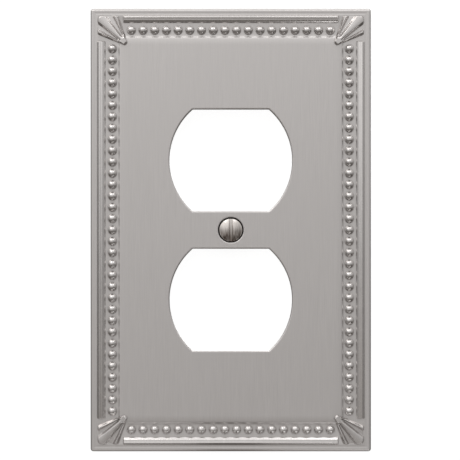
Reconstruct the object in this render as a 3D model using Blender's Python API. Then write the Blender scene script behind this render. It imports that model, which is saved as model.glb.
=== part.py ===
"""A duplex receptacle wall plate: a beaded, shell-cornered casting with its slotted screw and a retaining washer."""

import math

import bmesh
import bpy

MM = 0.001

# Overall plate, in millimetres. Heights are measured out from the wall plane.
PLATE_WIDTH = 78.3
PLATE_HEIGHT = 123.6
CORNER_RADIUS = 0.8
LEAST_RADIUS = 0.15
CORNER_STEPS = 2

# Heights of the front surfaces and depths of the hollow back.
EDGE_HEIGHT = 4.35
EDGE_ROUND = 0.85
BAND_HEIGHT = 4.3
FLOOR_HEIGHT = 4.2
FIELD_HEIGHT = 4.6
SHELL_HEIGHT = 5.5
RIM_WIDTH = 4.0
CHANNEL_BACK = 2.6
FIELD_BACK = 2.9
BACK_STEP = 8.2

# Offsets inward from the outer edge, where the border's steps lie.
BAND_END = 1.95
CHANNEL_START = 4.1
CHANNEL_END = 7.65
FIELD_START = 9.9

# Ridge moulding that stands between the outer band and the bead channel.
RIDGE_END_GAP = 9.1
RIDGE_CREST = 4.98
RIDGE_NOSE = 0.3

# Beads in the channel.
BEAD_RADIUS = 1.25
BEAD_RISE = 1.25
BEAD_LINE = 6.1
BEADS_ACROSS = 18
BEADS_DOWN = 33
BEAD_PITCH_ACROSS = 3.265
BEAD_PITCH_DOWN = 3.159
BEAD_SIDES = 8
BEAD_RINGS = (-0.3, 0.45, 1.0)

# Corner shells: a fan that spreads from a round tip towards each corner.
SHELL_APEX = 11.2
SHELL_TIP_CENTRE = 9.0
SHELL_TIP_RADIUS = 1.5
SHELL_EDGE_GAP = 1.8
SHELL_HALF_ANGLE = 24.2
SHELL_BROAD = 1.1
SHELL_NARROW = 0.97
SHELL_SQUARENESS = 16
SHELL_SKIRT = 4.0
SHELL_BASE = 3.5
SHELL_ANGLES = (4.6, 6.0, 7.6, 9.0, 14.0, 15.6, 17.2, 18.8, 20.8, 22.8, 24.2)
SHELL_ROWS = 6
SHELL_NOSE = 0.6
SHELL_END = 0.6
SHELL_FALL = 0.3
RECESS_DEPTH = 0.85
SIDE_DEPTH = 0.05
RECESS_START = 3.4
RECESS_FULL = 4.5
PETAL_EDGE = 6.8
PETAL_CROWN = 0.1
SIDE_INNER = 15.6
WALL_HALF_WIDTH = 0.33
SKIRT_WIDTH = 0.9
SKIRT_SHARE = 0.5

# Two openings for the receptacle faces.
OPENING_PITCH = 38.9
OPENING_RADIUS = 18.8
OPENING_SHIFT = 1.7
OPENING_HALF_FLAT = 14.2
OPENING_ROUND = 0.4
OPENING_STEPS = 12

# Screw hole: a countersink over a clearance hole with a pad behind it.
HEAD_RADIUS = 3.2
HEAD_CROWN = 0.75
HEAD_SIDES = 28
CONE_HALF_ANGLE = math.radians(41.0)
SEAT_GAP = 0.3
CLEARANCE_RADIUS = 2.1
PAD_RADIUS = 5.0
PAD_HEIGHT = 2.6

# Screw: 6-32 thread, half an inch long under the head's edge.
SCREW_LENGTH = 12.7
THREAD_MAJOR = 1.7526
THREAD_MINOR = 1.28
THREAD_PITCH = 0.79375
THREAD_ROWS = 6
THREAD_SIDES = 12
SLOT_WIDTH = 1.2
SLOT_FLOOR_WIDTH = 0.8
SLOT_DEPTH = 1.05

# Retaining washer on the thread behind the plate.
WASHER_OUTER = 4.6
WASHER_INNER = 1.95
WASHER_BACK = 0.35
WASHER_THICKNESS = 0.4
WASHER_SIDES = 24

OVERLAP = 1.0


def clear_scene():
    for obj in list(bpy.data.objects):
        bpy.data.objects.remove(obj, do_unlink=True)


def place(across, up, out):
    """A point given across, up and out from the wall, in the part's frame, whose front faces -Y."""
    return (across * MM, -out * MM, up * MM)


def add_ring(bm, points):
    return [bm.verts.new(place(*point)) for point in points]


def bridge(bm, first, second):
    count = len(first)
    for i in range(count):
        j = (i + 1) % count
        bm.faces.new((first[i], first[j], second[j], second[i]))


def loft(bm, rings, cap_start=True, cap_end=True):
    """Joins rings of equal length into one tube, with flat caps where asked."""
    made = [add_ring(bm, ring) for ring in rings]
    for first, second in zip(made, made[1:]):
        bridge(bm, first, second)
    if cap_start:
        bm.faces.new(made[0])
    if cap_end:
        bm.faces.new(made[-1])
    return made


def object_from(bm, name):
    bmesh.ops.recalc_face_normals(bm, faces=bm.faces)
    mesh = bpy.data.meshes.new(name)
    bm.to_mesh(mesh)
    bm.free()
    obj = bpy.data.objects.new(name, mesh)
    bpy.context.scene.collection.objects.link(obj)
    return obj


def as_helper(obj):
    obj.hide_render = True
    obj.display_type = "WIRE"
    return obj


def combine(target, helper, operation):
    modifier = target.modifiers.new(operation.title() + "_" + helper.name, "BOOLEAN")
    modifier.operation = operation
    modifier.solver = "EXACT"
    modifier.object = helper


def material(name, colour, metallic, roughness):
    made = bpy.data.materials.new(name)
    made.use_nodes = True
    shader = made.node_tree.nodes["Principled BSDF"]
    shader.inputs["Base Color"].default_value = (*colour, 1.0)
    shader.inputs["Metallic"].default_value = metallic
    shader.inputs["Roughness"].default_value = roughness
    made.diffuse_color = (*colour, 1.0)
    return made


def rounded_rectangle(offset, out):
    """The plate's outline moved inward by an offset, at one height."""
    half_width = PLATE_WIDTH / 2 - offset
    half_height = PLATE_HEIGHT / 2 - offset
    radius = max(CORNER_RADIUS - offset, LEAST_RADIUS)
    points = []
    for quarter, (side, top) in enumerate(((1, 1), (-1, 1), (-1, -1), (1, -1))):
        for step in range(CORNER_STEPS + 1):
            angle = math.radians(90.0 * (quarter + step / CORNER_STEPS))
            across = side * (half_width - radius) + radius * math.cos(angle)
            up = top * (half_height - radius) + radius * math.sin(angle)
            points.append((across, up, out))
    return points


def front_stations():
    """(offset, height) pairs from the back edge over the border to the flat field."""
    edge_turn = EDGE_ROUND * (1 - math.sqrt(0.5))
    return (
        (0.2, 0.0),
        (0.0, 0.2),
        (0.0, EDGE_HEIGHT - EDGE_ROUND),
        (edge_turn, EDGE_HEIGHT - edge_turn),
        (EDGE_ROUND, EDGE_HEIGHT),
        (1.45, EDGE_HEIGHT - 0.042),
        (BAND_END, EDGE_HEIGHT - 0.005),
        (2.4, BAND_HEIGHT - 0.01),
        (6.5, FLOOR_HEIGHT),
        (CHANNEL_END, FLOOR_HEIGHT + 0.02),
        (7.9, FLOOR_HEIGHT + 0.1),
        (8.15, FLOOR_HEIGHT + 0.28),
        (8.6, FLOOR_HEIGHT + 0.345),
        (9.1, FLOOR_HEIGHT + 0.378),
        (FIELD_START, FIELD_HEIGHT),
    )


def back_stations():
    """(offset, height) pairs from the rim that lies on the wall to the hollow's flat ceiling."""
    return (
        (RIM_WIDTH, 0.0),
        (RIM_WIDTH + 0.25, CHANNEL_BACK),
        (BACK_STEP, CHANNEL_BACK),
        (BACK_STEP + 0.4, FIELD_BACK),
    )


def casting_body():
    bm = bmesh.new()
    stations = tuple(reversed(front_stations())) + back_stations()
    loft(bm, [rounded_rectangle(offset, out) for offset, out in stations])
    return object_from(bm, "plate")


def ridge_section():
    """(offset, height) pairs round the ridge moulding, closed below the surface."""
    return (
        (1.76, SHELL_BASE),
        (1.8, BAND_HEIGHT + 0.03),
        (2.05, BAND_HEIGHT + 0.3),
        (2.32, BAND_HEIGHT + 0.6),
        (2.53, RIDGE_CREST),
        (2.83, RIDGE_CREST - 0.085),
        (3.2, RIDGE_CREST - 0.12),
        (3.56, RIDGE_CREST - 0.27),
        (3.89, RIDGE_CREST - 0.51),
        (4.07, RIDGE_CREST - 0.66),
        (4.12, SHELL_BASE),
    )


def ridge_ring(along, inset, drop):
    """The ridge's section at one place along it, narrowed and lowered for a rounded end."""
    middle = (BAND_END + CHANNEL_START) / 2
    ring = []
    for offset, out in ridge_section():
        moved = offset + math.copysign(inset, middle - offset)
        ring.append((along, moved, max(SHELL_BASE, out - drop) if out > SHELL_BASE else out))
    return ring


def add_ridge(bm, half_length, turn):
    """One straight run of ridge; turn maps (along, offset, height) onto a side of the plate."""
    nose = RIDGE_NOSE
    stops = (
        (-half_length, 0.12, nose),
        (-half_length + nose, 0.0, 0.0),
        (half_length - nose, 0.0, 0.0),
        (half_length, 0.12, nose),
    )
    rings = [[turn(*point) for point in ridge_ring(*stop)] for stop in stops]
    loft(bm, rings)


def side_turns():
    """For each side of the plate, its half-length and its map from (along, offset, height)."""
    half_width = PLATE_WIDTH / 2
    half_height = PLATE_HEIGHT / 2
    return (
        (half_width, lambda s, o, h: (s, half_height - o, h)),
        (half_width, lambda s, o, h: (s, o - half_height, h)),
        (half_height, lambda s, o, h: (half_width - o, s, h)),
        (half_height, lambda s, o, h: (o - half_width, s, h)),
    )


def bead_rings(across, up):
    """A low dome whose lowest ring is under the channel floor."""
    rings = []
    for elevation in BEAD_RINGS:
        radius = BEAD_RADIUS * math.cos(elevation)
        out = FLOOR_HEIGHT + BEAD_RISE * math.sin(elevation)
        rings.append([
            (
                across + radius * math.cos(math.tau * i / BEAD_SIDES),
                up + radius * math.sin(math.tau * i / BEAD_SIDES),
                out,
            )
            for i in range(BEAD_SIDES)
        ])
    return rings


def add_bead(bm, across, up):
    rings = loft(bm, bead_rings(across, up), cap_end=False)
    top = bm.verts.new(place(across, up, FLOOR_HEIGHT + BEAD_RISE))
    last = rings[-1]
    for i in range(BEAD_SIDES):
        bm.faces.new((last[i], last[(i + 1) % BEAD_SIDES], top))


def add_beads(bm):
    row_line = PLATE_HEIGHT / 2 - BEAD_LINE
    column_line = PLATE_WIDTH / 2 - BEAD_LINE
    for i in range(BEADS_ACROSS):
        across = (i - (BEADS_ACROSS - 1) / 2) * BEAD_PITCH_ACROSS
        add_bead(bm, across, row_line)
        add_bead(bm, across, -row_line)
    for i in range(BEADS_DOWN):
        up = (i - (BEADS_DOWN - 1) / 2) * BEAD_PITCH_DOWN
        add_bead(bm, column_line, up)
        add_bead(bm, -column_line, up)


def add_pad(bm):
    """A low round pad behind the plate, round the screw hole."""
    rings = []
    for out in (PAD_HEIGHT, (FIELD_HEIGHT + FIELD_BACK) / 2):
        rings.append([
            (
                PAD_RADIUS * math.cos(math.tau * i / HEAD_SIDES),
                PAD_RADIUS * math.sin(math.tau * i / HEAD_SIDES),
                out,
            )
            for i in range(HEAD_SIDES)
        ])
    loft(bm, rings)


def border_relief():
    bm = bmesh.new()
    for half_side, turn in side_turns():
        add_ridge(bm, half_side - RIDGE_END_GAP, turn)
    add_beads(bm)
    add_pad(bm)
    return as_helper(object_from(bm, "border_relief"))


def smooth_step(low, high, value):
    t = min(1.0, max(0.0, (value - low) / (high - low)))
    return t * t * (3 - 2 * t)


def round_over(distance, width):
    """Rises from 0 to 1 as a quarter circle over a width."""
    t = 1 - min(1.0, max(0.0, distance / width))
    return math.sqrt(1 - t * t)


def shell_drop(angle, reach):
    """How far the fan lies under its full height: a broad central petal, a sunk panel, then a narrow petal."""
    def wall(at):
        return smooth_step(-WALL_HALF_WIDTH, WALL_HALF_WIDTH, math.radians(angle - at) * reach)

    depth = smooth_step(RECESS_START, RECESS_FULL, reach)
    crown = PETAL_CROWN * min(1.0, angle / PETAL_EDGE) ** 2
    sunk = wall(PETAL_EDGE) * RECESS_DEPTH
    return depth * (crown + sunk - wall(SIDE_INNER) * (RECESS_DEPTH - SIDE_DEPTH))


def shell_reach(angle):
    """Distances from the apex to the fan's tip and to its outer end, at an angle in degrees."""
    turn = math.radians(angle)
    back = (SHELL_APEX - SHELL_TIP_CENTRE) * math.sqrt(2)
    chord = SHELL_TIP_RADIUS**2 - (back * math.sin(turn)) ** 2
    near = back * math.cos(turn) - math.sqrt(max(0.0, chord))
    along = abs(math.cos(math.pi / 4 + turn)) ** SHELL_SQUARENESS
    beside = abs(math.sin(math.pi / 4 + turn)) ** SHELL_SQUARENESS
    far = (SHELL_APEX - SHELL_EDGE_GAP) / (along + beside) ** (1 / SHELL_SQUARENESS)
    return near, far


def shell_point(angle, share):
    """(distance in from each side edge, height) of the fan at an angle and a share of the way out."""
    bearing = angle * (SHELL_BROAD if angle > 0 else SHELL_NARROW)
    near, far = shell_reach(bearing)
    reach = near + (far - near) * share
    fall = SHELL_FALL * smooth_step(RECESS_START, far + 3.0, reach)
    skirt = min(SKIRT_WIDTH, SKIRT_SHARE * math.radians(SHELL_HALF_ANGLE) * reach)
    side = smooth_step(0.0, skirt, math.radians(SHELL_HALF_ANGLE - abs(angle)) * reach)
    ends = round_over(reach - near, SHELL_NOSE) * smooth_step(0.0, SHELL_END, far - reach)
    top = SHELL_HEIGHT - fall - shell_drop(abs(angle), reach)
    out = SHELL_SKIRT + (top - SHELL_SKIRT) * side * ends
    turn = math.pi / 4 + math.radians(bearing)
    return SHELL_APEX - reach * math.cos(turn), SHELL_APEX - reach * math.sin(turn), out


def shell_angles():
    return [-angle for angle in reversed(SHELL_ANGLES)] + [0.0] + list(SHELL_ANGLES)


def shell_shares():
    """Shares of the way out, closer together where the tip and the outer end turn down."""
    first, last = 0.07, 0.92
    spread = [first + (last - first) * i / SHELL_ROWS for i in range(SHELL_ROWS + 1)]
    return [0.0, 0.01, 0.035, *spread, 0.945, 0.975, 1.0]


def add_shell(bm, side, top):
    """One fan; side and top are the signs of the corner it points to."""
    def at(inward, down, out):
        across = side * (PLATE_WIDTH / 2 - inward)
        up = top * (PLATE_HEIGHT / 2 - down)
        return bm.verts.new(place(across, up, out))

    grid = [[at(*shell_point(a, s)) for a in shell_angles()] for s in shell_shares()]
    for near, far in zip(grid, grid[1:]):
        for i in range(len(near) - 1):
            bm.faces.new((near[i], near[i + 1], far[i + 1], far[i]))
    right = [row[-1] for row in grid[1:-1]]
    left = [row[0] for row in grid[1:-1]]
    outline = grid[0] + right + grid[-1][::-1] + left[::-1]
    low = [bm.verts.new((v.co.x, -SHELL_BASE * MM, v.co.z)) for v in outline]
    bridge(bm, outline, low)
    bm.faces.new(low)


def corner_shells():
    bm = bmesh.new()
    for side, top in ((1, 1), (-1, 1), (-1, -1), (1, -1)):
        add_shell(bm, side, top)
    return as_helper(object_from(bm, "corner_shells"))


def opening_ring(centre, grow, out):
    """Two bowed sides, whose centres lie past the middle, and two level flats, moved outward by grow."""
    radius = OPENING_RADIUS + grow
    reach = math.asin((OPENING_HALF_FLAT + grow) / radius)
    points = []
    for side in (1, -1):
        for step in range(OPENING_STEPS + 1):
            angle = reach * (2 * step / OPENING_STEPS - 1)
            across = side * (radius * math.cos(angle) - OPENING_SHIFT)
            points.append((across, centre + side * radius * math.sin(angle), out))
    return points


def opening_cutters():
    bm = bmesh.new()
    turn = OPENING_ROUND * (1 - math.sqrt(0.5))
    stations = (
        (0.0, -OVERLAP),
        (0.0, FIELD_HEIGHT - OPENING_ROUND),
        (turn, FIELD_HEIGHT - turn),
        (OPENING_ROUND, FIELD_HEIGHT),
        (OPENING_ROUND, FIELD_HEIGHT + OVERLAP),
    )
    for centre in (-OPENING_PITCH / 2, OPENING_PITCH / 2):
        loft(bm, [opening_ring(centre, grow, out) for grow, out in stations])
    return as_helper(object_from(bm, "opening_cutters"))


def circle(radius, out, sides):
    return [
        (
            radius * math.cos(math.tau * i / sides),
            radius * math.sin(math.tau * i / sides),
            out,
        )
        for i in range(sides)
    ]


def countersink_cutter():
    bm = bmesh.new()
    mouth = HEAD_RADIUS + SEAT_GAP / math.cos(CONE_HALF_ANGLE)
    depth = (mouth - CLEARANCE_RADIUS) / math.tan(CONE_HALF_ANGLE)
    stations = (
        (CLEARANCE_RADIUS, -OVERLAP),
        (CLEARANCE_RADIUS, FIELD_HEIGHT - depth),
        (mouth, FIELD_HEIGHT),
        (mouth, FIELD_HEIGHT + OVERLAP),
    )
    loft(bm, [circle(radius, out, HEAD_SIDES) for radius, out in stations])
    return as_helper(object_from(bm, "countersink_cutter"))


def make_plate():
    plate = casting_body()
    combine(plate, border_relief(), "UNION")
    combine(plate, corner_shells(), "UNION")
    combine(plate, opening_cutters(), "DIFFERENCE")
    combine(plate, countersink_cutter(), "DIFFERENCE")
    plate.data.materials.append(material("satin_nickel", (0.62, 0.6, 0.58), 1.0, 0.38))
    return plate


def head_stations():
    """(radius, height) pairs of the oval head, from under its cone to its crown."""
    neck = THREAD_MINOR
    depth = (HEAD_RADIUS - neck) / math.tan(CONE_HALF_ANGLE)
    curve = (HEAD_RADIUS**2 + HEAD_CROWN**2) / (2 * HEAD_CROWN)
    stations = [
        (neck, FIELD_HEIGHT - depth - OVERLAP),
        (neck, FIELD_HEIGHT - depth),
        (HEAD_RADIUS, FIELD_HEIGHT),
    ]
    for share in (0.92, 0.72, 0.45, 0.15):
        radius = HEAD_RADIUS * share
        rise = math.sqrt(curve**2 - radius**2) - (curve - HEAD_CROWN)
        stations.append((radius, FIELD_HEIGHT + rise))
    return stations


def thread_radius(angle, out, top, tip):
    """Radius of the right-hand thread at a turn and a height, fading out at both ends."""
    phase = (out / THREAD_PITCH - angle / math.tau) % 1.0
    crest = 1 - abs(2 * phase - 1)
    crest = min(1.0, max(0.0, 1.45 * crest - 0.15))
    fade = smooth_step(0.0, THREAD_PITCH, top - out) * smooth_step(-0.2, THREAD_PITCH, out - tip)
    return THREAD_MINOR + (THREAD_MAJOR - THREAD_MINOR) * crest * fade


def thread_rod():
    top = FIELD_HEIGHT - (HEAD_RADIUS - THREAD_MINOR) / math.tan(CONE_HALF_ANGLE)
    tip = FIELD_HEIGHT - SCREW_LENGTH
    rows = math.ceil((top - tip) / THREAD_PITCH * THREAD_ROWS)
    rings = [circle(THREAD_MINOR * 0.78, tip, THREAD_SIDES)]
    for row in range(rows + 1):
        out = tip + 0.3 + (top - 0.05 - tip - 0.3) * row / rows
        rings.append([
            (
                thread_radius(math.tau * i / THREAD_SIDES, out, top, tip)
                * math.cos(math.tau * i / THREAD_SIDES),
                thread_radius(math.tau * i / THREAD_SIDES, out, top, tip)
                * math.sin(math.tau * i / THREAD_SIDES),
                out,
            )
            for i in range(THREAD_SIDES)
        ])
    bm = bmesh.new()
    loft(bm, rings)
    return as_helper(object_from(bm, "thread_rod"))


def slot_cutter():
    bm = bmesh.new()
    half = SLOT_WIDTH / 2
    floor_half = SLOT_FLOOR_WIDTH / 2
    reach = HEAD_RADIUS + OVERLAP
    crown = FIELD_HEIGHT + HEAD_CROWN
    section = (
        (-floor_half, crown - SLOT_DEPTH),
        (floor_half, crown - SLOT_DEPTH),
        (half, crown),
        (half, crown + OVERLAP),
        (-half, crown + OVERLAP),
        (-half, crown),
    )
    loft(bm, [[(across, up, out) for across, out in section] for up in (-reach, reach)])
    return as_helper(object_from(bm, "slot_cutter"))


def make_screw():
    bm = bmesh.new()
    loft(bm, [circle(radius, out, HEAD_SIDES) for radius, out in head_stations()])
    screw = object_from(bm, "mounting_screw")
    combine(screw, thread_rod(), "UNION")
    combine(screw, slot_cutter(), "DIFFERENCE")
    screw.data.materials.append(material("plated_steel", (0.6, 0.57, 0.55), 1.0, 0.3))
    return screw


def make_washer():
    bm = bmesh.new()
    front = WASHER_BACK + WASHER_THICKNESS
    edge = 0.08
    section = (
        (WASHER_INNER, WASHER_BACK),
        (WASHER_OUTER - edge, WASHER_BACK),
        (WASHER_OUTER, WASHER_BACK + edge),
        (WASHER_OUTER, front - edge),
        (WASHER_OUTER - edge, front),
        (WASHER_INNER, front),
    )
    rings = [add_ring(bm, circle(radius, out, WASHER_SIDES)) for radius, out in section]
    for first, second in zip(rings, rings[1:] + rings[:1]):
        bridge(bm, first, second)
    washer = object_from(bm, "screw_retainer")
    washer.data.materials.append(material("natural_nylon", (0.8, 0.78, 0.7), 0.0, 0.5))
    return washer


def shade(obj):
    obj.data.shade_smooth()
    obj.data.set_sharp_from_angle(angle=math.radians(30.0))


def main():
    clear_scene()
    for obj in (make_plate(), make_screw(), make_washer()):
        shade(obj)


main()
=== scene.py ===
"""The looks of a duplex wall plate: fine casting, slotted screw and washer, in a pale studio."""

import math

import bmesh
import bpy
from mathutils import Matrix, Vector


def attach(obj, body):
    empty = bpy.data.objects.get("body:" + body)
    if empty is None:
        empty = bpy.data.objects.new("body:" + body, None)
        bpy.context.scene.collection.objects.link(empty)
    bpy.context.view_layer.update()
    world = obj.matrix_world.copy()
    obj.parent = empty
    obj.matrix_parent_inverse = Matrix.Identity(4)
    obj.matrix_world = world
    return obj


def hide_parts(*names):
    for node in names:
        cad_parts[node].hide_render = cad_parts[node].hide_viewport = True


MM = 0.001
FRONT = Vector((0, -1, 0))

# Overall plate, in millimetres. Heights are measured out from the wall plane.
PLATE_WIDTH = 78.3
PLATE_HEIGHT = 123.6
CORNER_RADIUS = 0.8
LEAST_RADIUS = 0.15
CORNER_STEPS = 8
ROUND_STEPS = 8

# Heights of the front surfaces and depths of the hollow back.
EDGE_HEIGHT = 4.35
EDGE_ROUND = 0.7
BAND_HEIGHT = 4.3
FLOOR_HEIGHT = 4.2
FIELD_HEIGHT = 4.6
SHELL_HEIGHT = 5.5
RIM_WIDTH = 4.0
CHANNEL_BACK = 2.4
FIELD_BACK = 2.9
BACK_STEP = 8.2
BURIED = 0.2

# Breaks, draft and fillets on the casting's edges.
FOOT_BREAK = 0.2
RIM_BREAK = 0.1
BACK_DRAFT = 0.25
BACK_FILLET = 0.15
MOUTH_LAND = 0.15
MOUTH_BACK_BREAK = 0.06
HOLE_LAND = 0.08
HOLE_SINK = 0.03
HOLE_BREAK = 0.05

# Offsets inward from the outer edge, where the border's steps lie.
BAND_END = 1.95
BAND_SLOPE_START = 2.4
BAND_SLOPE_DROP = 0.01
CHANNEL_START = 4.1
CHANNEL_LEVEL = 6.5
CHANNEL_END = 7.45
FIELD_START = 9.9
SUPPORT = 0.25

# Faint cove in the outer band, as (offset, depth under the edge's height).
BAND_COVE = (
    (0.98, 0.008), (1.12, 0.025), (1.27, 0.038), (1.45, 0.042),
    (1.6, 0.036), (1.75, 0.022), (BAND_END, 0.005),
)

# Sweep from the channel floor up to the field, as (offset, share of the rise).
FIELD_SWEEP = (
    (7.6, 0.025), (7.72, 0.075), (7.82, 0.15), (7.9, 0.25), (7.97, 0.385), (8.04, 0.525), (8.11, 0.65),
    (8.18, 0.735), (8.28, 0.785), (8.42, 0.825), (8.6, 0.862), (8.8, 0.9), (9.1, 0.945), (9.5, 0.982),
)

# Ridge moulding that stands between the outer band and the bead channel.
RIDGE_END_GAP = 9.1
RIDGE_CREST = 4.98
RIDGE_SPREAD = 1.06
RIDGE_NOSE = 0.35
RIDGE_PINCH = 0.12
RIDGE_OUTER_FOOT = 1.7
RIDGE_INNER_FOOT = 4.14

# The ridge's outer wall, as (offset, height over the band).
RIDGE_WALL = (
    (1.78, 0.01), (1.84, 0.06), (1.9, 0.12), (1.97, 0.2),
    (2.05, 0.3), (2.13, 0.4), (2.22, 0.5), (2.32, 0.6),
)

# The ridge's double crest and inner wall, as (offset, depth under the crest).
RIDGE_TOP = (
    (2.44, 0.01), (2.53, 0.0), (2.62, 0.015), (2.72, 0.05), (2.83, 0.085), (2.95, 0.105), (3.08, 0.11),
    (3.2, 0.12), (3.32, 0.15), (3.44, 0.2), (3.56, 0.27), (3.68, 0.35), (3.79, 0.43), (3.89, 0.51),
    (3.98, 0.58), (4.06, 0.65),
)

# Beads in the channel.
BEAD_RADIUS = 1.25
BEAD_RISE = 1.25
BEAD_LINE = 6.1
BEADS_ACROSS = 18
BEADS_DOWN = 33
BEAD_PITCH_ACROSS = 3.265
BEAD_PITCH_DOWN = 3.159
BEAD_SIDES = 32
BEAD_RINGS = 9
BEAD_LOWEST = -0.2

# Corner shells: a fan of pleats that spreads from a round tip towards each corner.
SHELL_APEX = 11.2
SHELL_TIP_CENTRE = 9.0
SHELL_TIP_RADIUS = 1.5
SHELL_EDGE_GAP = 1.8
SHELL_HALF_ANGLE = 24.2
SHELL_BROAD = 1.1
SHELL_NARROW = 0.97
SHELL_SQUARENESS = 16
SHELL_SKIRT = 4.0
SHELL_ROWS = 80
SHELL_COLUMNS = 180
SHELL_NOSE = 0.6
SHELL_END = 0.6
SHELL_FALL = 0.3
SHELL_FALL_BEYOND = 3.0
RECESS_DEPTH = 0.85
SIDE_DEPTH = 0.05
RECESS_START = 3.4
RECESS_FULL = 4.5
PETAL_EDGE = 6.8
PETAL_CROWN = 0.1
SIDE_INNER = 15.6
WALL_HALF_WIDTH = 0.33
SKIRT_WIDTH = 0.9
SKIRT_SHARE = 0.5

# Two openings for the receptacle faces.
OPENING_PITCH = 38.9
OPENING_RADIUS = 18.8
OPENING_SHIFT = 1.7
OPENING_HALF_FLAT = 14.2
OPENING_ROUND = 0.4
OPENING_STEPS = 64

# Screw hole: a countersink over a clearance hole with a pad behind it.
HEAD_RADIUS = 3.2
HEAD_CROWN = 0.75
HEAD_SIDES = 96
HEAD_RINGS = 16
HEAD_BREAK = 0.03
HEAD_SHOULDER = 0.035
HEAD_LIP = 0.05
CONE_HALF_ANGLE = math.radians(41.0)
SEAT_GAP = 0.3
CLEARANCE_RADIUS = 2.1
PAD_RADIUS = 5.0
PAD_HEIGHT = 2.6

# Screw: 6-32 thread, half an inch long under the head's edge.
SCREW_LENGTH = 12.7
THREAD_MAJOR = 1.7526
THREAD_MINOR = 1.28
THREAD_PITCH = 0.79375
THREAD_ROWS = 14
THREAD_SIDES = 48
THREAD_GAIN = 1.45
THREAD_FLAT = 0.15
THREAD_LEAD = 0.2
NECK_SHARE = 0.9
NECK_LENGTH = 0.4
TIP_CHAMFER = 0.3
TIP_SHARES = (0.3, 0.6, 0.78)
SLOT_WIDTH = 1.2
SLOT_FLOOR_WIDTH = 0.8
SLOT_DEPTH = 0.85
SLOT_EDGE_ROUND = 0.07
CUTTER_MARGIN = 1.0

# Retaining washer on the thread behind the plate.
WASHER_OUTER = 4.6
WASHER_INNER = 1.95
WASHER_BACK = 0.35
WASHER_THICKNESS = 0.4
WASHER_SIDES = 72
WASHER_EDGE = 0.1
WASHER_CORNER = 0.03
GROOVE_OUTER = 0.45
GROOVE_INNER = 0.95
GROOVE_DEPTH = 0.06

# Metal colours, in linear light, the dark colours that recesses are painted with as shade, and how many
# brush strokes fit in a metre across and along.
NICKEL = (0.655, 0.632, 0.622)
NICKEL_HOLLOW_SHADE = (0.1, 0.095, 0.09)
FIELD_STROKES = (9000.0, 9000.0, 140.0)
RELIEF_STROKES = (1500.0, 1500.0, 400.0)
STEEL = (0.72, 0.68, 0.65)
STEEL_HOLLOW_SHADE = (0.03, 0.026, 0.024)
STEEL_STROKES = (7000.0, 7000.0, 400.0)
# Brown of the upright streaks on the screw head, which are laid more densely towards its bottom.
STREAK_BROWN = (0.17, 0.13, 0.11)
# How far the painted shade in creases reaches.
HOLLOW_SHADE_DISTANCE = 0.7
BUMP_DISTANCE = 0.02

# Camera: a long lens straight on, with the frame's width given at the plate's edge.
LENS = 135.0
SENSOR = 36.0
FRAME_WIDTH = 128.3
AIM_ACROSS = -0.22
AIM_UP = 0.0

# Studio, in metres: a backdrop just behind the wall plane and a floor under the plate.
STAGE_REACH = 1.5
BACKDROP_BEHIND = 0.0006
FLOOR_BELOW = -0.072


def place(across, up, out):
    """A point given across, up and out from the wall, in the part's frame, whose front faces -Y."""
    return (across * MM, -out * MM, up * MM)


def add_ring(bm, points):
    return [bm.verts.new(place(*point)) for point in points]


def bridge(bm, first, second):
    count = len(first)
    for i in range(count):
        j = (i + 1) % count
        bm.faces.new((first[i], first[j], second[j], second[i]))


def loft(bm, rings):
    made = [add_ring(bm, ring) for ring in rings]
    for first, second in zip(made, made[1:]):
        bridge(bm, first, second)
    return made


def add_grid(bm, rows):
    """Faces between rows of points of equal length, open at all four sides."""
    made = [add_ring(bm, row) for row in rows]
    for near, far in zip(made, made[1:]):
        for i in range(len(near) - 1):
            bm.faces.new((near[i], near[i + 1], far[i + 1], far[i]))
    return made


def ring_edges(bm, ring):
    pairs = zip(ring, ring[1:] + ring[:1])
    return [bm.edges.get(pair) or bm.edges.new(pair) for pair in pairs]


def fill_between(bm, rings):
    """A flat face between an outer ring and the rings of the holes in it."""
    edges = [edge for ring in rings for edge in ring_edges(bm, ring)]
    bmesh.ops.triangle_fill(bm, use_beauty=True, edges=edges)


def object_from(bm, name, sharp_degrees=38.0, outward=None):
    bmesh.ops.recalc_face_normals(bm, faces=bm.faces)
    if outward is not None:
        turn_outward(bm, outward)
    mesh = bpy.data.meshes.new(name)
    bm.to_mesh(mesh)
    bm.free()
    mesh.shade_smooth()
    mesh.set_sharp_from_angle(angle=math.radians(sharp_degrees))
    obj = bpy.data.objects.new(name, mesh)
    bpy.context.scene.collection.objects.link(obj)
    return obj


def turn_outward(bm, outward):
    """Turns an open shell's faces so that, on the whole, they look along a direction."""
    facing = sum(face.normal.dot(outward) * face.calc_area() for face in bm.faces)
    if facing < 0:
        bmesh.ops.reverse_faces(bm, faces=bm.faces)


def circle(radius, out, sides):
    return [
        (
            radius * math.cos(math.tau * i / sides),
            radius * math.sin(math.tau * i / sides),
            out,
        )
        for i in range(sides)
    ]


def quarter(width, height, steps):
    """(inward, up) pairs of a quarter round that starts upright and ends level."""
    turns = [math.pi / 2 * i / steps for i in range(steps + 1)]
    return [(width * (1 - math.cos(t)), height * math.sin(t)) for t in turns]


def smooth_step(low, high, value):
    t = min(1.0, max(0.0, (value - low) / (high - low)))
    return t * t * (3 - 2 * t)


def round_over(distance, width):
    """Rises from 0 to 1 as a quarter circle over a width."""
    t = 1 - min(1.0, max(0.0, distance / width))
    return math.sqrt(1 - t * t)


# ---- plate ---------------------------------------------------------------------------------------


def rounded_rectangle(offset, out):
    """The plate's outline moved inward by an offset, at one height."""
    half_width = PLATE_WIDTH / 2 - offset
    half_height = PLATE_HEIGHT / 2 - offset
    radius = max(CORNER_RADIUS - offset, LEAST_RADIUS)
    points = []
    for turn, (side, top) in enumerate(((1, 1), (-1, 1), (-1, -1), (1, -1))):
        for step in range(CORNER_STEPS + 1):
            angle = math.radians(90.0 * (turn + step / CORNER_STEPS))
            across = side * (half_width - radius) + radius * math.cos(angle)
            up = top * (half_height - radius) + radius * math.sin(angle)
            points.append((across, up, out))
    return points


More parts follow.
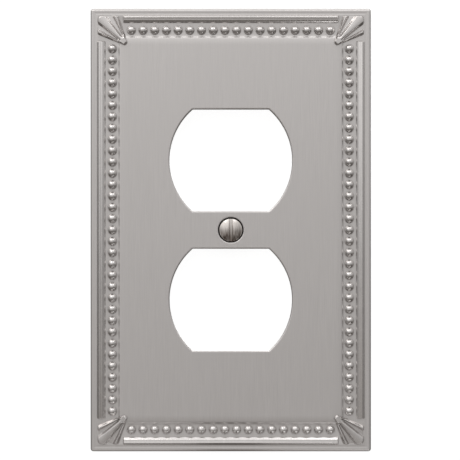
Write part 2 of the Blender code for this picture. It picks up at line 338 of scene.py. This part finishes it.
def border_stations():
    """(offset, height) pairs over the outer band's faint cove and the channel floor, up to the field."""
    step = FIELD_HEIGHT - FLOOR_HEIGHT
    return [
        *[(offset, EDGE_HEIGHT - depth) for offset, depth in BAND_COVE],
        (BAND_SLOPE_START, BAND_HEIGHT - BAND_SLOPE_DROP),
        (CHANNEL_LEVEL, FLOOR_HEIGHT),
        (CHANNEL_END, FLOOR_HEIGHT),
        *[(offset, FLOOR_HEIGHT + step * share) for offset, share in FIELD_SWEEP],
        (FIELD_START, FIELD_HEIGHT),
    ]


def front_stations():
    """(offset, height) pairs from the back edge over the border to the flat field."""
    edge = [
        (inward, EDGE_HEIGHT - EDGE_ROUND + up)
        for inward, up in quarter(EDGE_ROUND, EDGE_ROUND, ROUND_STEPS)
    ]
    return [
        (FOOT_BREAK, 0.0),
        (0.3 * FOOT_BREAK, 0.25 * FOOT_BREAK),
        (0.0, FOOT_BREAK),
        *edge,
        *border_stations(),
        (FIELD_START + SUPPORT, FIELD_HEIGHT),
    ]


def back_stations():
    """(offset, height) pairs from the rim that lies on the wall to the hollow's flat ceiling."""
    slope_start = BACK_STEP + RIM_BREAK
    return [
        (RIM_WIDTH - RIM_BREAK, 0.0),
        (RIM_WIDTH, RIM_BREAK),
        (RIM_WIDTH + BACK_DRAFT, CHANNEL_BACK - BACK_FILLET),
        (RIM_WIDTH + BACK_DRAFT + BACK_FILLET, CHANNEL_BACK),
        (BACK_STEP, CHANNEL_BACK),
        (slope_start, CHANNEL_BACK + RIM_BREAK),
        (slope_start + BACK_DRAFT, FIELD_BACK - BACK_FILLET / 3),
        (slope_start + BACK_DRAFT + BACK_FILLET, FIELD_BACK),
    ]


def opening_ring(centre, grow, out):
    """Two bowed sides, whose centres lie past the middle, and two level flats, moved outward by grow."""
    radius = OPENING_RADIUS + grow
    reach = math.asin((OPENING_HALF_FLAT + grow) / radius)
    points = []
    for side in (1, -1):
        for step in range(OPENING_STEPS + 1):
            angle = reach * (2 * step / OPENING_STEPS - 1)
            across = side * (radius * math.cos(angle) - OPENING_SHIFT)
            points.append((across, centre + side * radius * math.sin(angle), out))
    return points


def opening_walls(bm, centre):
    """The rounded mouth and wall of one opening; returns its front and back rims."""
    mouth = [
        (grow, FIELD_HEIGHT - OPENING_ROUND + up)
        for grow, up in reversed(quarter(OPENING_ROUND, OPENING_ROUND, ROUND_STEPS))
    ]
    stations = [
        (OPENING_ROUND + MOUTH_LAND, FIELD_HEIGHT),
        *mouth,
        (0.0, FIELD_BACK + MOUTH_BACK_BREAK),
        (MOUTH_BACK_BREAK, FIELD_BACK),
    ]
    rings = loft(bm, [opening_ring(centre, grow, out) for grow, out in stations])
    return rings[0], rings[-1]


def screw_hole_walls(bm):
    """The countersink, clearance hole and the pad behind; returns its front and back rims."""
    mouth = HEAD_RADIUS + SEAT_GAP / math.cos(CONE_HALF_ANGLE)
    depth = (mouth - CLEARANCE_RADIUS) / math.tan(CONE_HALF_ANGLE)
    stations = (
        (mouth + SEAT_GAP, FIELD_HEIGHT),
        (mouth + HOLE_LAND, FIELD_HEIGHT),
        (mouth, FIELD_HEIGHT - HOLE_SINK),
        (mouth - HOLE_BREAK, FIELD_HEIGHT - 2 * HOLE_BREAK),
        (CLEARANCE_RADIUS, FIELD_HEIGHT - depth),
        (CLEARANCE_RADIUS, PAD_HEIGHT + HOLE_BREAK),
        (CLEARANCE_RADIUS + HOLE_BREAK, PAD_HEIGHT),
        (PAD_RADIUS - HOLE_LAND, PAD_HEIGHT),
        (PAD_RADIUS, PAD_HEIGHT + HOLE_LAND),
        (PAD_RADIUS, FIELD_BACK),
    )
    rings = loft(bm, [circle(radius, out, HEAD_SIDES) for radius, out in stations])
    return rings[0], rings[-1]


def make_casting():
    bm = bmesh.new()
    stations = list(reversed(front_stations())) + back_stations()
    rings = loft(bm, [rounded_rectangle(offset, out) for offset, out in stations])
    fronts, backs = [rings[0]], [rings[-1]]
    walls = [opening_walls(bm, side * OPENING_PITCH / 2) for side in (-1, 1)]
    for front, back in (*walls, screw_hole_walls(bm)):
        fronts.append(front)
        backs.append(back)
    fill_between(bm, fronts)
    fill_between(bm, backs)
    return object_from(bm, "plate_casting")


def ridge_section():
    """(offset, height) pairs over the ridge moulding, from its outer foot to its inner foot."""
    return (
        (RIDGE_OUTER_FOOT, BAND_HEIGHT - BURIED),
        *[(offset, BAND_HEIGHT + rise) for offset, rise in RIDGE_WALL],
        *[(offset, RIDGE_CREST - depth) for offset, depth in RIDGE_TOP],
        (RIDGE_INNER_FOOT, FLOOR_HEIGHT - BURIED),
    )


def ridge_ring(along, pull, sink):
    """The ridge's section at one place along it, pulled to its middle and sunk for a rounded end."""
    middle = (BAND_END + CHANNEL_START) / 2
    base = FLOOR_HEIGHT - BURIED
    return [
        (along, middle + (offset - middle) * (1 - pull), base + (out - base) * (1 - sink))
        for offset, out in ridge_section()
    ]


def ridge_stops(half_length):
    """(place along, pull, sink) for each section of a run with rounded ends."""
    ends = []
    for i in range(ROUND_STEPS + 1):
        turn = math.pi / 2 * i / ROUND_STEPS
        reach = RIDGE_NOSE * (1 - math.sin(turn))
        sink = 1 - math.cos(turn)
        ends.append((half_length - reach, RIDGE_PINCH * sink, sink))
    return [(-along, pull, sink) for along, pull, sink in reversed(ends)] + ends


def side_turns():
    """For each side of the plate, its half-length and its map from (along, offset, height).

    The mouldings at the two long sides are a little broader.
    """
    half_width = PLATE_WIDTH / 2
    half_height = PLATE_HEIGHT / 2

    def broad(offset):
        return BAND_END + (offset - BAND_END) * RIDGE_SPREAD

    return (
        (half_width, lambda s, o, h: (s, half_height - o, h)),
        (half_width, lambda s, o, h: (s, o - half_height, h)),
        (half_height, lambda s, o, h: (half_width - broad(o), s, h)),
        (half_height, lambda s, o, h: (broad(o) - half_width, s, h)),
    )


def make_ridges():
    bm = bmesh.new()
    for half_side, turn in side_turns():
        stops = ridge_stops(half_side - RIDGE_END_GAP)
        add_grid(bm, [[turn(*point) for point in ridge_ring(*stop)] for stop in stops])
    return object_from(bm, "plate_ridges", 50.0, FRONT)


def add_bead(bm, across, up):
    """A low round dome whose rim is buried in the channel floor."""
    rings = []
    for i in range(BEAD_RINGS):
        elevation = BEAD_LOWEST + (math.pi / 2 - BEAD_LOWEST) * i / BEAD_RINGS
        radius = BEAD_RADIUS * math.cos(elevation)
        out = FLOOR_HEIGHT + BEAD_RISE * math.sin(elevation)
        rings.append([(across + x, up + y, z) for x, y, z in circle(radius, out, BEAD_SIDES)])
    made = loft(bm, rings)
    top = bm.verts.new(place(across, up, FLOOR_HEIGHT + BEAD_RISE))
    last = made[-1]
    for i in range(BEAD_SIDES):
        bm.faces.new((last[i], last[(i + 1) % BEAD_SIDES], top))


def make_beads():
    bm = bmesh.new()
    row_line = PLATE_HEIGHT / 2 - BEAD_LINE
    column_line = PLATE_WIDTH / 2 - BEAD_LINE
    for i in range(BEADS_ACROSS):
        across = (i - (BEADS_ACROSS - 1) / 2) * BEAD_PITCH_ACROSS
        add_bead(bm, across, row_line)
        add_bead(bm, across, -row_line)
    for i in range(BEADS_DOWN):
        up = (i - (BEADS_DOWN - 1) / 2) * BEAD_PITCH_DOWN
        add_bead(bm, column_line, up)
        add_bead(bm, -column_line, up)
    return object_from(bm, "plate_beads", 60.0, FRONT)


def pleat_wall(angle, at, reach):
    """Passes from 0 to 1 across the wall that stands at an angle of the fan."""
    return smooth_step(-WALL_HALF_WIDTH, WALL_HALF_WIDTH, math.radians(angle - at) * reach)


def pleat_drop(angle, reach):
    """How far the fan lies under its full height: broad central petal, sunk panel, then narrow petal."""
    depth = smooth_step(RECESS_START, RECESS_FULL, reach)
    panel_share = pleat_wall(angle, PETAL_EDGE, reach)
    side_share = pleat_wall(angle, SIDE_INNER, reach)
    crown = PETAL_CROWN * min(1.0, angle / PETAL_EDGE) ** 2
    return depth * (crown + panel_share * RECESS_DEPTH - side_share * (RECESS_DEPTH - SIDE_DEPTH))


def shell_reach(angle):
    """Distances from the apex to the fan's tip and to its outer end, at an angle in degrees."""
    turn = math.radians(angle)
    back = (SHELL_APEX - SHELL_TIP_CENTRE) * math.sqrt(2)
    chord = SHELL_TIP_RADIUS**2 - (back * math.sin(turn)) ** 2
    near = back * math.cos(turn) - math.sqrt(max(0.0, chord))
    along = abs(math.cos(math.pi / 4 + turn)) ** SHELL_SQUARENESS
    beside = abs(math.sin(math.pi / 4 + turn)) ** SHELL_SQUARENESS
    far = (SHELL_APEX - SHELL_EDGE_GAP) / (along + beside) ** (1 / SHELL_SQUARENESS)
    return near, far


def shell_point(angle, share):
    """(distance in from each side edge, height) of the fan at an angle and a share of the way out."""
    bearing = angle * (SHELL_BROAD if angle > 0 else SHELL_NARROW)
    near, far = shell_reach(bearing)
    reach = near + (far - near) * share
    fall = SHELL_FALL * smooth_step(RECESS_START, far + SHELL_FALL_BEYOND, reach)
    skirt = min(SKIRT_WIDTH, SKIRT_SHARE * math.radians(SHELL_HALF_ANGLE) * reach)
    side = smooth_step(0.0, skirt, math.radians(SHELL_HALF_ANGLE - abs(angle)) * reach)
    ends = round_over(reach - near, SHELL_NOSE) * smooth_step(0.0, SHELL_END, far - reach)
    top = SHELL_HEIGHT - fall - pleat_drop(abs(angle), reach)
    out = SHELL_SKIRT + (top - SHELL_SKIRT) * side * ends
    turn = math.pi / 4 + math.radians(bearing)
    return SHELL_APEX - reach * math.cos(turn), SHELL_APEX - reach * math.sin(turn), out


def shell_shares():
    """Shares of the way out, closer together where the tip and the outer end turn down."""
    return [0.5 - 0.5 * math.cos(math.pi * i / SHELL_ROWS) for i in range(SHELL_ROWS + 1)]


def make_shells():
    bm = bmesh.new()
    half = SHELL_COLUMNS // 2
    angles = [SHELL_HALF_ANGLE * i / half for i in range(-half, half + 1)]
    points = [[shell_point(a, s) for a in angles] for s in shell_shares()]
    for side, top in ((1, 1), (-1, 1), (-1, -1), (1, -1)):
        add_grid(bm, [
            [
                (side * (PLATE_WIDTH / 2 - inward), top * (PLATE_HEIGHT / 2 - down), out)
                for inward, down, out in row
            ]
            for row in points
        ])
    return object_from(bm, "plate_shells", 70.0, FRONT)


# ---- screw and washer ----------------------------------------------------------------------------


def head_stations():
    """(radius, height) pairs of the oval head, from under its cone to its crown."""
    depth = (HEAD_RADIUS - THREAD_MINOR) / math.tan(CONE_HALF_ANGLE)
    curve = (HEAD_RADIUS**2 + HEAD_CROWN**2) / (2 * HEAD_CROWN)
    stations = [
        (THREAD_MINOR * NECK_SHARE, FIELD_HEIGHT - depth - NECK_LENGTH),
        (THREAD_MINOR, FIELD_HEIGHT - depth),
        (HEAD_RADIUS - HEAD_BREAK, FIELD_HEIGHT - HEAD_SHOULDER),
        (HEAD_RADIUS, FIELD_HEIGHT),
        (HEAD_RADIUS - HEAD_BREAK, FIELD_HEIGHT + HEAD_LIP),
    ]
    for i in range(1, HEAD_RINGS):
        radius = (HEAD_RADIUS - HEAD_BREAK) * math.cos(math.pi / 2 * i / HEAD_RINGS)
        rise = math.sqrt(curve**2 - radius**2) - (curve - HEAD_CROWN)
        stations.append((radius, FIELD_HEIGHT + max(rise, HEAD_LIP)))
    return stations


def slot_cutter():
    bm = bmesh.new()
    half = SLOT_WIDTH / 2
    floor_half = SLOT_FLOOR_WIDTH / 2
    reach = HEAD_RADIUS + CUTTER_MARGIN
    crown = FIELD_HEIGHT + HEAD_CROWN
    section = (
        (-floor_half, crown - SLOT_DEPTH),
        (floor_half, crown - SLOT_DEPTH),
        (half, crown),
        (half, crown + CUTTER_MARGIN),
        (-half, crown + CUTTER_MARGIN),
        (-half, crown),
    )
    ends = loft(bm, [[(across, up, out) for across, out in section] for up in (-reach, reach)])
    for end in ends:
        bm.faces.new(end)
    return object_from(bm, "slot_cutter")


def apply_modifiers(obj):
    graph = bpy.context.evaluated_depsgraph_get()
    mesh = bpy.data.meshes.new_from_object(obj.evaluated_get(graph))
    obj.modifiers.clear()
    obj.data = mesh


def make_head():
    """The oval head with its driver slot, whose edges are softened by wear."""
    bm = bmesh.new()
    rings = loft(bm, [circle(radius, out, HEAD_SIDES) for radius, out in head_stations()])
    bm.faces.new(rings[0])
    bm.faces.new(rings[-1])
    head = object_from(bm, "screw_head")
    cutter = slot_cutter()
    cut = head.modifiers.new("Slot", "BOOLEAN")
    cut.operation = "DIFFERENCE"
    cut.solver = "EXACT"
    cut.object = cutter
    soften = head.modifiers.new("Soften", "BEVEL")
    soften.width = SLOT_EDGE_ROUND * MM
    soften.segments = 3
    soften.limit_method = "ANGLE"
    soften.angle_limit = math.radians(40.0)
    apply_modifiers(head)
    bpy.data.objects.remove(cutter)
    head.data.shade_smooth()
    head.data.set_sharp_from_angle(angle=math.radians(38.0))
    return head


def thread_radius(angle, out, top, tip):
    """Radius of the right-hand thread at a turn and a height, fading out at both ends."""
    phase = (out / THREAD_PITCH - angle / math.tau) % 1.0
    crest = 1 - abs(2 * phase - 1)
    crest = min(1.0, max(0.0, THREAD_GAIN * crest - THREAD_FLAT))
    fade = smooth_step(0.0, THREAD_PITCH, top - out) * smooth_step(-THREAD_LEAD, THREAD_PITCH, out - tip)
    return THREAD_MINOR + (THREAD_MAJOR - THREAD_MINOR) * crest * fade


def thread_ring(out, top, tip):
    ring = []
    for i in range(THREAD_SIDES):
        angle = math.tau * i / THREAD_SIDES
        radius = thread_radius(angle, out, top, tip)
        ring.append((radius * math.cos(angle), radius * math.sin(angle), out))
    return ring


def make_thread():
    top = FIELD_HEIGHT - (HEAD_RADIUS - THREAD_MINOR) / math.tan(CONE_HALF_ANGLE)
    tip = FIELD_HEIGHT - SCREW_LENGTH
    rows = math.ceil((top - tip) / THREAD_PITCH * THREAD_ROWS)
    rings = [circle(THREAD_MINOR * share, tip, THREAD_SIDES) for share in TIP_SHARES]
    for row in range(rows + 1):
        out = tip + TIP_CHAMFER + (top - tip - TIP_CHAMFER) * row / rows
        rings.append(thread_ring(out, top, tip))
    bm = bmesh.new()
    made = loft(bm, rings)
    bm.faces.new(made[0])
    return object_from(bm, "screw_thread", 50.0)


def make_washer():
    """A thin moulded washer with rounded edges and a shallow groove round its back."""
    front = WASHER_BACK + WASHER_THICKNESS
    inner_break = WASHER_EDGE / 2
    groove = WASHER_BACK + GROOVE_DEPTH
    section = (
        (WASHER_INNER, WASHER_BACK + inner_break),
        (WASHER_INNER + inner_break, WASHER_BACK),
        (WASHER_OUTER - GROOVE_INNER, WASHER_BACK),
        (WASHER_OUTER - GROOVE_INNER + WASHER_EDGE, groove),
        (WASHER_OUTER - GROOVE_OUTER - WASHER_EDGE, groove),
        (WASHER_OUTER - GROOVE_OUTER, WASHER_BACK),
        (WASHER_OUTER - WASHER_EDGE, WASHER_BACK),
        (WASHER_OUTER - WASHER_CORNER, WASHER_BACK + WASHER_CORNER),
        (WASHER_OUTER, WASHER_BACK + WASHER_EDGE),
        (WASHER_OUTER, front - WASHER_EDGE),
        (WASHER_OUTER - WASHER_CORNER, front - WASHER_CORNER),
        (WASHER_OUTER - WASHER_EDGE, front),
        (WASHER_INNER + inner_break, front),
        (WASHER_INNER, front - inner_break),
    )
    bm = bmesh.new()
    rings = loft(bm, [circle(radius, out, WASHER_SIDES) for radius, out in section])
    bridge(bm, rings[-1], rings[0])
    return object_from(bm, "retaining_washer", 50.0)


# ---- materials -----------------------------------------------------------------------------------


def new_material(name):
    material = bpy.data.materials.new(name)
    material.use_nodes = True
    return material, material.node_tree.nodes, material.node_tree.links


def noise(nodes, links, coords, scale, detail, rough=0.5):
    """A noise texture stretched by a scale for each axis."""
    mapping = nodes.new("ShaderNodeMapping")
    mapping.inputs["Scale"].default_value = scale
    links.new(coords, mapping.inputs["Vector"])
    texture = nodes.new("ShaderNodeTexNoise")
    texture.inputs["Scale"].default_value = 1.0
    texture.inputs["Detail"].default_value = detail
    texture.inputs["Roughness"].default_value = rough
    links.new(mapping.outputs["Vector"], texture.inputs["Vector"])
    return texture.outputs["Fac"]


def map_range(nodes, links, value, low, high, to_low, to_high):
    node = nodes.new("ShaderNodeMapRange")
    node.inputs["From Min"].default_value = low
    node.inputs["From Max"].default_value = high
    node.inputs["To Min"].default_value = to_low
    node.inputs["To Max"].default_value = to_high
    links.new(value, node.inputs["Value"])
    return node.outputs["Result"]


def mix_colour(nodes, links, factor, first, second, blend="MIX"):
    node = nodes.new("ShaderNodeMix")
    node.data_type = "RGBA"
    node.blend_type = blend
    for socket, value in ((node.inputs[6], first), (node.inputs[7], second)):
        if isinstance(value, tuple):
            socket.default_value = (*value, 1.0)
        else:
            links.new(value, socket)
    if isinstance(factor, float):
        node.inputs[0].default_value = factor
    else:
        links.new(factor, node.inputs[0])
    return node.outputs[2]


def math_node(nodes, links, operation, first, second):
    node = nodes.new("ShaderNodeMath")
    node.operation = operation
    for socket, value in zip(node.inputs, (first, second)):
        if isinstance(value, float):
            socket.default_value = value
        else:
            links.new(value, socket)
    return node.outputs["Value"]


def add_bump(nodes, links, height, strength, shader):
    bump = nodes.new("ShaderNodeBump")
    bump.inputs["Strength"].default_value = strength
    bump.inputs["Distance"].default_value = BUMP_DISTANCE * MM
    links.new(height, bump.inputs["Height"])
    links.new(bump.outputs["Normal"], shader.inputs["Normal"])


def paint_hollow_shade(nodes, links, base, dark):
    """Painted shade: darkens creases by how much of the sky a point misses."""
    occlusion = nodes.new("ShaderNodeAmbientOcclusion")
    occlusion.samples = 6
    occlusion.inputs["Distance"].default_value = HOLLOW_SHADE_DISTANCE * MM
    hollow = map_range(nodes, links, occlusion.outputs["AO"], 0.2, 0.8, 1.0, 0.0)
    return mix_colour(nodes, links, hollow, base, dark)


def add_brown_streaks(nodes, links, coords, base):
    """Brown upright streaks, laid more densely towards the lower half of the head."""
    split = nodes.new("ShaderNodeSeparateXYZ")
    links.new(coords, split.inputs["Vector"])
    low = map_range(nodes, links, split.outputs["Z"], 1.6 * MM, -1.8 * MM, 0.1, 1.0)
    streaks = noise(nodes, links, coords, (2600.0, 2600.0, 130.0), 2.0)
    share = map_range(nodes, links, streaks, 0.36, 0.62, 0.1, 0.95)
    cover = math_node(nodes, links, "MULTIPLY", low, share)
    return mix_colour(nodes, links, cover, base, STREAK_BROWN)


def brushed_metal(name, colour, dark, roughness, streak, bump, strength=1.0, brown_streaked=False):
    """Satin plating: fine upright brush lines, soft blotches, and painted shade that darkens the
    recesses.
    """
    material, nodes, links = new_material(name)
    shader = nodes["Principled BSDF"]
    shader.inputs["Metallic"].default_value = 1.0
    coords = nodes.new("ShaderNodeTexCoord").outputs["Object"]
    lines = noise(nodes, links, coords, streak, 3.0, 0.6)
    blotches = noise(nodes, links, coords, (60.0, 60.0, 45.0), 3.0)
    grain = noise(nodes, links, coords, (5200.0, 5200.0, 5200.0), 2.0)

    tone = map_range(nodes, links, lines, 0.3, 0.7, 0.0, 1.0)
    paler = tuple(min(1.0, channel * (1 + 0.06 * strength)) for channel in colour)
    deeper = tuple(channel * (1 - 0.05 * strength) for channel in colour)
    base = mix_colour(nodes, links, tone, deeper, paler)
    patch = map_range(nodes, links, blotches, 0.35, 0.65, 0.0, 0.5)
    base = mix_colour(nodes, links, patch, base, colour)
    if brown_streaked:
        base = add_brown_streaks(nodes, links, coords, base)
    # The recesses are darkened as painted shade.
    links.new(paint_hollow_shade(nodes, links, base, dark), shader.inputs["Base Color"])

    spread = map_range(nodes, links, lines, 0.3, 0.7, roughness - 0.03, roughness + 0.03)
    cloud = map_range(nodes, links, blotches, 0.3, 0.7, -0.015, 0.015)
    links.new(math_node(nodes, links, "ADD", spread, cloud), shader.inputs["Roughness"])

    height = mix_colour(nodes, links, 0.3, lines, grain)
    add_bump(nodes, links, height, bump, shader)
    return material


def moulded_nylon():
    material, nodes, links = new_material("natural_nylon")
    shader = nodes["Principled BSDF"]
    shader.inputs["Subsurface Weight"].default_value = 0.15
    shader.inputs["Subsurface Scale"].default_value = 0.5 * MM
    coords = nodes.new("ShaderNodeTexCoord").outputs["Object"]
    cloud = noise(nodes, links, coords, (500.0, 500.0, 500.0), 3.0)
    grain = noise(nodes, links, coords, (4000.0, 4000.0, 4000.0), 2.0)
    tone = map_range(nodes, links, cloud, 0.35, 0.65, 0.0, 1.0)
    base = mix_colour(nodes, links, tone, (0.74, 0.71, 0.62), (0.82, 0.8, 0.73))
    links.new(base, shader.inputs["Base Color"])
    links.new(map_range(nodes, links, cloud, 0.3, 0.7, 0.42, 0.55), shader.inputs["Roughness"])
    add_bump(nodes, links, grain, 0.3, shader)
    return material


def wear(obj, material):
    obj.data.materials.clear()
    obj.data.materials.append(material)


# ---- studio --------------------------------------------------------------------------------------


def panel(name, corners, material):
    bm = bmesh.new()
    bm.faces.new([bm.verts.new(corner) for corner in corners])
    mesh = bpy.data.meshes.new(name)
    bm.to_mesh(mesh)
    bm.free()
    obj = bpy.data.objects.new(name, mesh)
    bpy.context.scene.collection.objects.link(obj)
    obj.data.materials.append(material)
    obj.visible_glossy = False
    obj.visible_diffuse = False
    obj.visible_shadow = False
    obj.visible_transmission = False


def wall_material():
    """White paint, bright enough to read as paper white, seen from its front only."""
    material, nodes, links = new_material("wall_paint")
    paint = nodes["Principled BSDF"]
    paint.inputs["Base Color"].default_value = (0.3, 0.3, 0.3, 1.0)
    paint.inputs["Roughness"].default_value = 0.9
    paint.inputs["Specular IOR Level"].default_value = 0.0
    paint.inputs["Emission Color"].default_value = (1.0, 1.0, 1.0, 1.0)
    paint.inputs["Emission Strength"].default_value = 0.88
    clear = nodes.new("ShaderNodeBsdfTransparent")
    side = nodes.new("ShaderNodeNewGeometry").outputs["Backfacing"]
    mix = nodes.new("ShaderNodeMixShader")
    links.new(side, mix.inputs["Fac"])
    links.new(paint.outputs["BSDF"], mix.inputs[1])
    links.new(clear.outputs["BSDF"], mix.inputs[2])
    links.new(mix.outputs["Shader"], nodes["Material Output"].inputs["Surface"])
    return material


def floor_material():
    material, nodes, links = new_material("pale_floor")
    shader = nodes["Principled BSDF"]
    shader.inputs["Roughness"].default_value = 0.8
    coords = nodes.new("ShaderNodeTexCoord").outputs["Object"]
    cloud = noise(nodes, links, coords, (12.0, 12.0, 12.0), 3.0)
    tone = map_range(nodes, links, cloud, 0.3, 0.7, 0.0, 1.0)
    base = mix_colour(nodes, links, tone, (0.8, 0.8, 0.8), (0.84, 0.84, 0.83))
    links.new(base, shader.inputs["Base Color"])
    shader.inputs["Emission Color"].default_value = (1.0, 1.0, 1.0, 1.0)
    shader.inputs["Emission Strength"].default_value = 0.35
    return material


def make_stage():
    far, behind, below = STAGE_REACH, BACKDROP_BEHIND, FLOOR_BELOW
    upright = [(-far, behind, below), (far, behind, below), (far, behind, far), (-far, behind, far)]
    level = [(-far, -far, below), (far, -far, below), (far, far, below), (-far, far, below)]
    panel("backdrop", upright, wall_material())
    panel("floor", level, floor_material())


def ramp(nodes, links, value, stops):
    """A grey scale through (position, brightness) stops, with positions from -1 to 1."""
    share = map_range(nodes, links, value, -1.0, 1.0, 0.0, 1.0)
    node = nodes.new("ShaderNodeValToRGB")
    node.color_ramp.interpolation = "EASE"
    elements = node.color_ramp.elements
    while len(elements) < len(stops):
        elements.new(0.5)
    for element, (position, level) in zip(elements, stops):
        element.position = (position + 1) / 2
        element.color = (level, level, level, 1.0)
    links.new(share, node.inputs["Fac"])
    return node.outputs["Color"]


def make_world():
    """A studio that is bright above and in front, darker below and behind; the background reads pale."""
    world = bpy.data.worlds.new("studio")
    bpy.context.scene.world = world
    world.use_nodes = True
    nodes, links = world.node_tree.nodes, world.node_tree.links
    split = nodes.new("ShaderNodeSeparateXYZ")
    links.new(nodes.new("ShaderNodeTexCoord").outputs["Generated"], split.inputs["Vector"])
    height = ramp(nodes, links, split.outputs["Z"], (
        (-1.0, 0.18), (-0.5, 0.19), (-0.3, 0.42), (-0.06, 0.51),
        (0.12, 0.8), (0.35, 1.0), (0.8, 1.15), (1.0, 0.95),
    ))
    across = ramp(nodes, links, split.outputs["X"], (
        (-1.0, 0.5), (-0.85, 0.72), (-0.55, 1.08), (-0.2, 1.0),
        (0.0, 1.0), (0.25, 0.9), (0.6, 0.64), (1.0, 0.7),
    ))
    depth = ramp(nodes, links, split.outputs["Y"], (
        (-1.0, 1.0), (-0.5, 1.0), (0.0, 0.85), (0.4, 0.62), (1.0, 0.5),
    ))
    glow = mix_colour(nodes, links, 1.0, height, depth, "MULTIPLY")
    glow = mix_colour(nodes, links, 1.0, glow, across, "MULTIPLY")
    warmth = map_range(nodes, links, split.outputs["Z"], -0.5, 0.0, 0.0, 1.0)
    tint = mix_colour(nodes, links, warmth, (1.0, 0.93, 0.87), (1.0, 0.99, 0.98))
    warm = mix_colour(nodes, links, 1.0, glow, tint, "MULTIPLY")
    seen = nodes.new("ShaderNodeLightPath").outputs["Is Camera Ray"]
    final = mix_colour(nodes, links, seen, warm, (0.93, 0.94, 0.95))
    links.new(final, nodes["Background"].inputs["Color"])


def softbox(name, position, aim, width, height, power, colour=(1.0, 1.0, 1.0)):
    light = bpy.data.lights.new(name, "AREA")
    light.shape = "RECTANGLE"
    light.size = width
    light.size_y = height
    light.energy = power
    light.color = colour
    obj = bpy.data.objects.new(name, light)
    bpy.context.scene.collection.objects.link(obj)
    obj.location = position
    obj.rotation_euler = (Vector(aim) - Vector(position)).to_track_quat("-Z", "Y").to_euler()
    obj.visible_camera = False


def make_lights():
    centre = (0.0, 0.0, 0.0)
    softbox("key", (-0.28, -0.3, 0.42), centre, 0.26, 0.18, 0.42, (1.0, 0.985, 0.96))
    softbox("right", (0.22, -0.3, 0.46), centre, 0.3, 0.2, 0.3)
    softbox("overhead", (0.0, -0.1, 0.6), centre, 0.5, 0.35, 0.15)
    softbox("low_fill", (0.15, -0.21, -0.37), centre, 0.09, 0.07, 0.06)
    for side in (-1, 1):
        near_corner = (side * 0.036, -0.022, -0.082)
        corner_shell = (side * 0.034, -0.006, -0.056)
        softbox("bounce", near_corner, corner_shell, 0.05, 0.026, 0.0018)
    softbox("rear", (0.1, 0.6, 0.25), centre, 0.7, 0.5, 2.0)


def make_camera():
    data = bpy.data.cameras.new("camera")
    data.lens = LENS
    data.sensor_width = SENSOR
    data.clip_start = 0.01
    data.clip_end = 20.0
    obj = bpy.data.objects.new("camera", data)
    bpy.context.scene.collection.objects.link(obj)
    distance = FRAME_WIDTH * LENS / SENSOR
    obj.location = place(AIM_ACROSS, AIM_UP, EDGE_HEIGHT + distance)
    obj.rotation_euler = (math.radians(90.0), 0.0, 0.0)
    bpy.context.scene.camera = obj


def set_view():
    view = bpy.context.scene.view_settings
    view.view_transform = "Standard"
    view.look = "None"


# ---- assembly ------------------------------------------------------------------------------------


def build_plate():
    field_metal = brushed_metal(
        "satin_nickel", NICKEL, NICKEL_HOLLOW_SHADE, roughness=0.36, streak=FIELD_STROKES, bump=0.35
    )
    relief_metal = brushed_metal(
        "satin_nickel_relief", NICKEL, NICKEL_HOLLOW_SHADE, roughness=0.25, streak=RELIEF_STROKES, bump=0.15
    )
    casting = make_casting()
    wear(casting, field_metal)
    reliefs = [make_ridges(), make_beads(), make_shells()]
    for relief in reliefs:
        wear(relief, relief_metal)
    for piece in (casting, *reliefs):
        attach(piece, "plate")
    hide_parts("plate")


def build_screw():
    metal = brushed_metal(
        "plated_steel", STEEL, STEEL_HOLLOW_SHADE,
        roughness=0.2, streak=STEEL_STROKES, bump=0.5, strength=3.0, brown_streaked=True,
    )
    head = make_head()
    thread = make_thread()
    for piece in (head, thread):
        wear(piece, metal)
        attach(piece, "mounting_screw")
    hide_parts("mounting_screw")


def build_washer():
    washer = make_washer()
    wear(washer, moulded_nylon())
    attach(washer, "screw_retainer")
    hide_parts("screw_retainer")


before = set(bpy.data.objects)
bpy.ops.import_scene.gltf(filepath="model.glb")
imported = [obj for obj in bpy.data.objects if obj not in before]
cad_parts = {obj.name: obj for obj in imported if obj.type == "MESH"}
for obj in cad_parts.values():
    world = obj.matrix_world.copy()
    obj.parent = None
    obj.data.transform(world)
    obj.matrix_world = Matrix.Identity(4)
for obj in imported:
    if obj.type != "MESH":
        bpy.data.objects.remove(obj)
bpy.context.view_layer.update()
build_plate()
build_screw()
build_washer()
make_stage()
make_world()
make_lights()
make_camera()
set_view()
